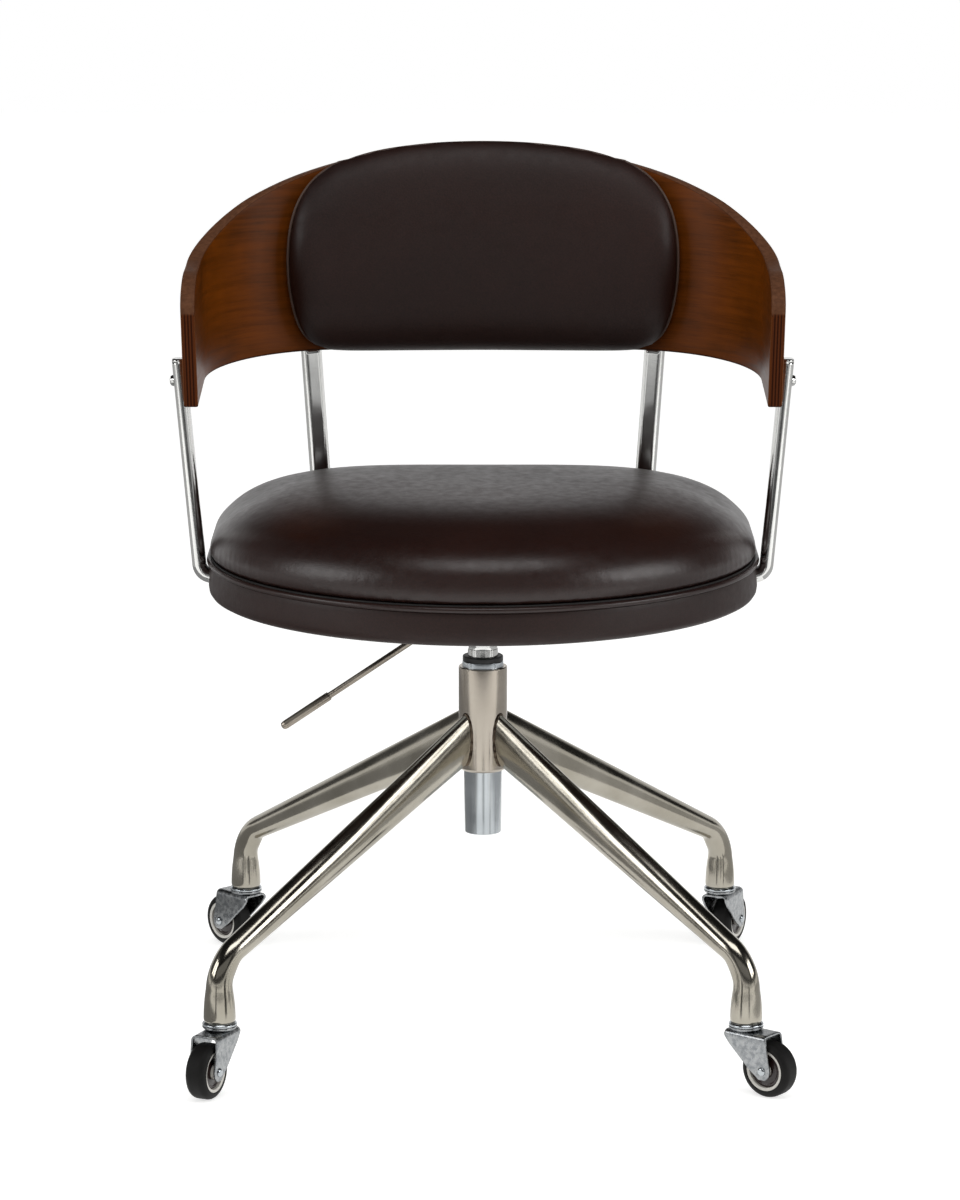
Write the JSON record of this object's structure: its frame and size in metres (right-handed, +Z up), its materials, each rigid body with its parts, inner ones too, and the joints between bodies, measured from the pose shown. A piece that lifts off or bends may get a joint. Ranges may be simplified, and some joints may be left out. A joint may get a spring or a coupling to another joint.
{
  "type": "office chair",
  "caption": "Swivel office chair: round-fronted padded seat, low wrap-around plywood back with a back pad, gas height column, splayed tube legs on casters.",
  "frame": {"origin": "on the floor, on the column's swivel axis", "axes": "+Z up, the front of the chair faces -Y, the height lever is on -X; the seat is at its lowest"},
  "size_m": [0.5716, 0.5641, 0.799],
  "materials": {
    "nickel_steel": "satin nickel plate, lightly brushed",
    "zinc_steel": "zinc plated",
    "bearing_steel": "ground",
    "chrome_tube": "polished chrome plate",
    "brass_insert": "turned",
    "black_plastic": "moulded",
    "rubber_buffer": "matt",
    "tyre_rubber": "satin, moulded",
    "core_plastic": "off-white, moulded",
    "cover_plastic": "dark brown, moulded",
    "plywood_board": "raw birch plywood",
    "walnut_ply": "walnut veneer, satin lacquer",
    "leather": "dark oxblood leather, semi-gloss, fine grain"
  },
  "bodies": {
    "base": {"hub_sleeve": "nickel_steel", "leg_front_left": "nickel_steel", "leg_front_right": "nickel_steel", "leg_rear_left": "nickel_steel", "leg_rear_right": "nickel_steel", "caster_sockets": "black_plastic", "caster_stems": "zinc_steel", "column_tube": "zinc_steel", "guide_bush": "black_plastic"},
    "column_rod": {"piston_rod": "bearing_steel", "rod_clip": "zinc_steel", "thrust_bearing": "bearing_steel", "rubber_buffer": "rubber_buffer"},
    "seat": {"gas_cylinder": "zinc_steel", "taper_socket": "zinc_steel", "seat_bracket": "zinc_steel", "mounting_plate": "zinc_steel", "pivot_pin": "zinc_steel", "plate_bolts": "zinc_steel", "tee_nuts": "zinc_steel", "seat_board": "plywood_board", "seat_band": "leather", "seat_piping": "leather", "seat_cushion": "leather", "arm_post_left": "chrome_tube", "arm_post_right": "chrome_tube", "rear_post_left": "chrome_tube", "rear_post_right": "chrome_tube", "post_caps": "chrome_tube", "post_seat_screws": "zinc_steel", "back_screws": "chrome_tube", "back_inserts": "brass_insert", "back_shell": "walnut_ply", "back_pad_board": "plywood_board", "back_pad": "leather", "pad_screws": "zinc_steel"},
    "lever": {"lever_tongue": "zinc_steel", "lever_rod": "nickel_steel", "lever_grip": "nickel_steel"},
    "release": {"release_pin": "bearing_steel"},
    "caster_front_left": {"caster_fork_front_left": "zinc_steel", "caster_axle_front_left": "zinc_steel"},
    "wheel_front_left": {"caster_tyre_front_left": "tyre_rubber", "caster_core_front_left": "core_plastic", "caster_cover_front_left": "cover_plastic"},
    "caster_front_right": {"caster_fork_front_right": "zinc_steel", "caster_axle_front_right": "zinc_steel"},
    "wheel_front_right": {"caster_tyre_front_right": "tyre_rubber", "caster_core_front_right": "core_plastic", "caster_cover_front_right": "cover_plastic"},
    "caster_rear_left": {"caster_fork_rear_left": "zinc_steel", "caster_axle_rear_left": "zinc_steel"},
    "wheel_rear_left": {"caster_tyre_rear_left": "tyre_rubber", "caster_core_rear_left": "core_plastic", "caster_cover_rear_left": "cover_plastic"},
    "caster_rear_right": {"caster_fork_rear_right": "zinc_steel", "caster_axle_rear_right": "zinc_steel"},
    "wheel_rear_right": {"caster_tyre_rear_right": "tyre_rubber", "caster_core_rear_right": "core_plastic", "caster_cover_rear_right": "cover_plastic"}
  },
  "joints": [
    {"name": "seat_swivel", "type": "hinge", "parent": "base", "child": "column_rod", "pos_m": [0, 0, 0.19], "axis": [0, 0, 1], "continuous": true},
    {"name": "seat_height", "type": "slide", "parent": "column_rod", "child": "seat", "axis": [0, 0, 1], "range_m": [0, 0.075]},
    {"name": "height_lever", "type": "hinge", "parent": "seat", "child": "lever", "pos_m": [-0.028, 0, 0.401], "axis": [0, 1, 0], "range_deg": [0, 7.2]},
    {"name": "release_stroke", "type": "slide", "parent": "seat", "child": "release", "axis": [0, 0, -1], "range_m": [0, 0.0036]},
    {"name": "caster_swivel_front_left", "type": "hinge", "parent": "base", "child": "caster_front_left", "pos_m": [-0.2335, -0.2335, 0.055], "axis": [0, 0, 1], "continuous": true},
    {"name": "wheel_spin_front_left", "type": "hinge", "parent": "caster_front_left", "child": "wheel_front_left", "pos_m": [-0.24428, -0.25716, 0.025], "axis": [0.91, -0.4147, 0], "continuous": true},
    {"name": "caster_swivel_front_right", "type": "hinge", "parent": "base", "child": "caster_front_right", "pos_m": [0.2335, -0.2335, 0.055], "axis": [0, 0, 1], "continuous": true},
    {"name": "wheel_spin_front_right", "type": "hinge", "parent": "caster_front_right", "child": "wheel_front_right", "pos_m": [0.25399, -0.24951, 0.025], "axis": [0.6157, 0.788, 0], "continuous": true},
    {"name": "caster_swivel_rear_left", "type": "hinge", "parent": "base", "child": "caster_rear_left", "pos_m": [-0.2335, 0.2335, 0.055], "axis": [0, 0, 1], "continuous": true},
    {"name": "wheel_spin_rear_left", "type": "hinge", "parent": "caster_rear_left", "child": "wheel_rear_left", "pos_m": [-0.25156, 0.2522, 0.025], "axis": [-0.7193, -0.6947, 0], "continuous": true},
    {"name": "caster_swivel_rear_right", "type": "hinge", "parent": "base", "child": "caster_rear_right", "pos_m": [0.2335, 0.2335, 0.055], "axis": [0, 0, 1], "continuous": true},
    {"name": "wheel_spin_rear_right", "type": "hinge", "parent": "caster_rear_right", "child": "wheel_rear_right", "pos_m": [0.24449, 0.25706, 0.025], "axis": [-0.9063, 0.4226, 0], "continuous": true}
  ],
  "couplings": [
    {"joint": "release_stroke", "follows": "height_lever", "m_per_rad": 0.028}
  ]
}
